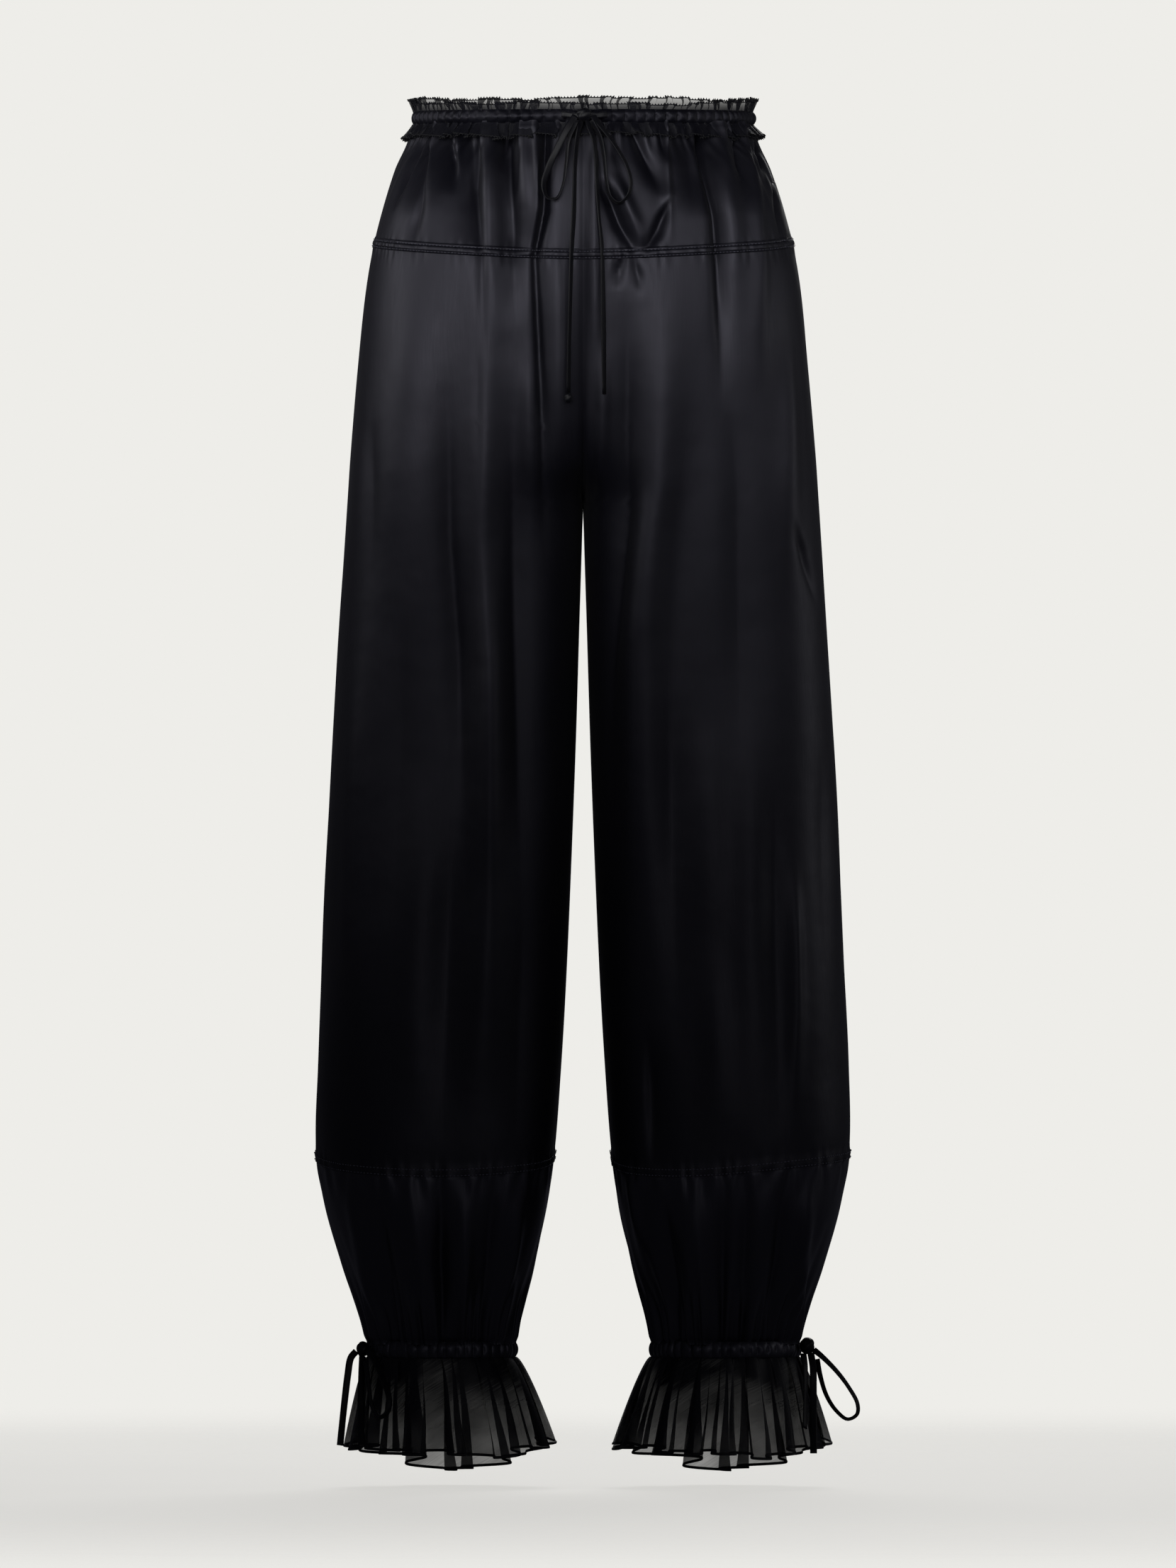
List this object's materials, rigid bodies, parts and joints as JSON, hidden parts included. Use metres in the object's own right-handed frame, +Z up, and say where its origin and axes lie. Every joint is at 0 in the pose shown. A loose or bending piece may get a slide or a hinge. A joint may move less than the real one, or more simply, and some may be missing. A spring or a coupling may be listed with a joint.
{
  "type": "balloon trousers",
  "caption": "Long balloon trousers of satin with organza frills at the waist, organza ankle panels, gathered casings, ruffles and tied bows.",
  "frame": {"origin": "middle of the waist casing, where the wearer's waist holds the trousers up", "axes": "+Z up along the body, -Y out of the front, +X toward the right of the picture"},
  "size_m": [0.4356, 0.2585, 1.1005],
  "materials": {
    "satin": "blue-black silk satin, soft broad sheen",
    "organza": "sheer blue-black silk organza, matt with a crisp hand",
    "ribbon": "narrow blue-black satin ribbon"
  },
  "bodies": {
    "root": {"waist_frill_top": "organza", "waist_casing": "satin", "waist_frill_lower": "organza", "yoke_front_left": "satin", "yoke_front_right": "satin", "yoke_back_left": "satin", "yoke_back_right": "satin", "leg_front_left": "satin", "leg_front_right": "satin", "leg_back_left": "satin", "leg_back_right": "satin", "ankle_panel_front_left": "organza", "ankle_panel_front_right": "organza", "ankle_panel_back_left": "organza", "ankle_panel_back_right": "organza", "ankle_casing_left": "organza", "ankle_casing_right": "organza", "ankle_frill_left": "organza", "ankle_frill_right": "organza", "waist_knot": "ribbon", "waist_end_knot": "ribbon", "waist_loop_left": "ribbon", "waist_loop_right": "ribbon", "waist_tail_left": "ribbon", "waist_tail_right": "ribbon", "ankle_knot_left": "ribbon", "ankle_loop_left": "ribbon", "ankle_tail_left_a": "ribbon", "ankle_tail_left_b": "ribbon", "ankle_knot_right": "ribbon", "ankle_loop_right": "ribbon", "ankle_tail_right_a": "ribbon", "ankle_tail_right_b": "ribbon"}
  },
  "joints": []
}
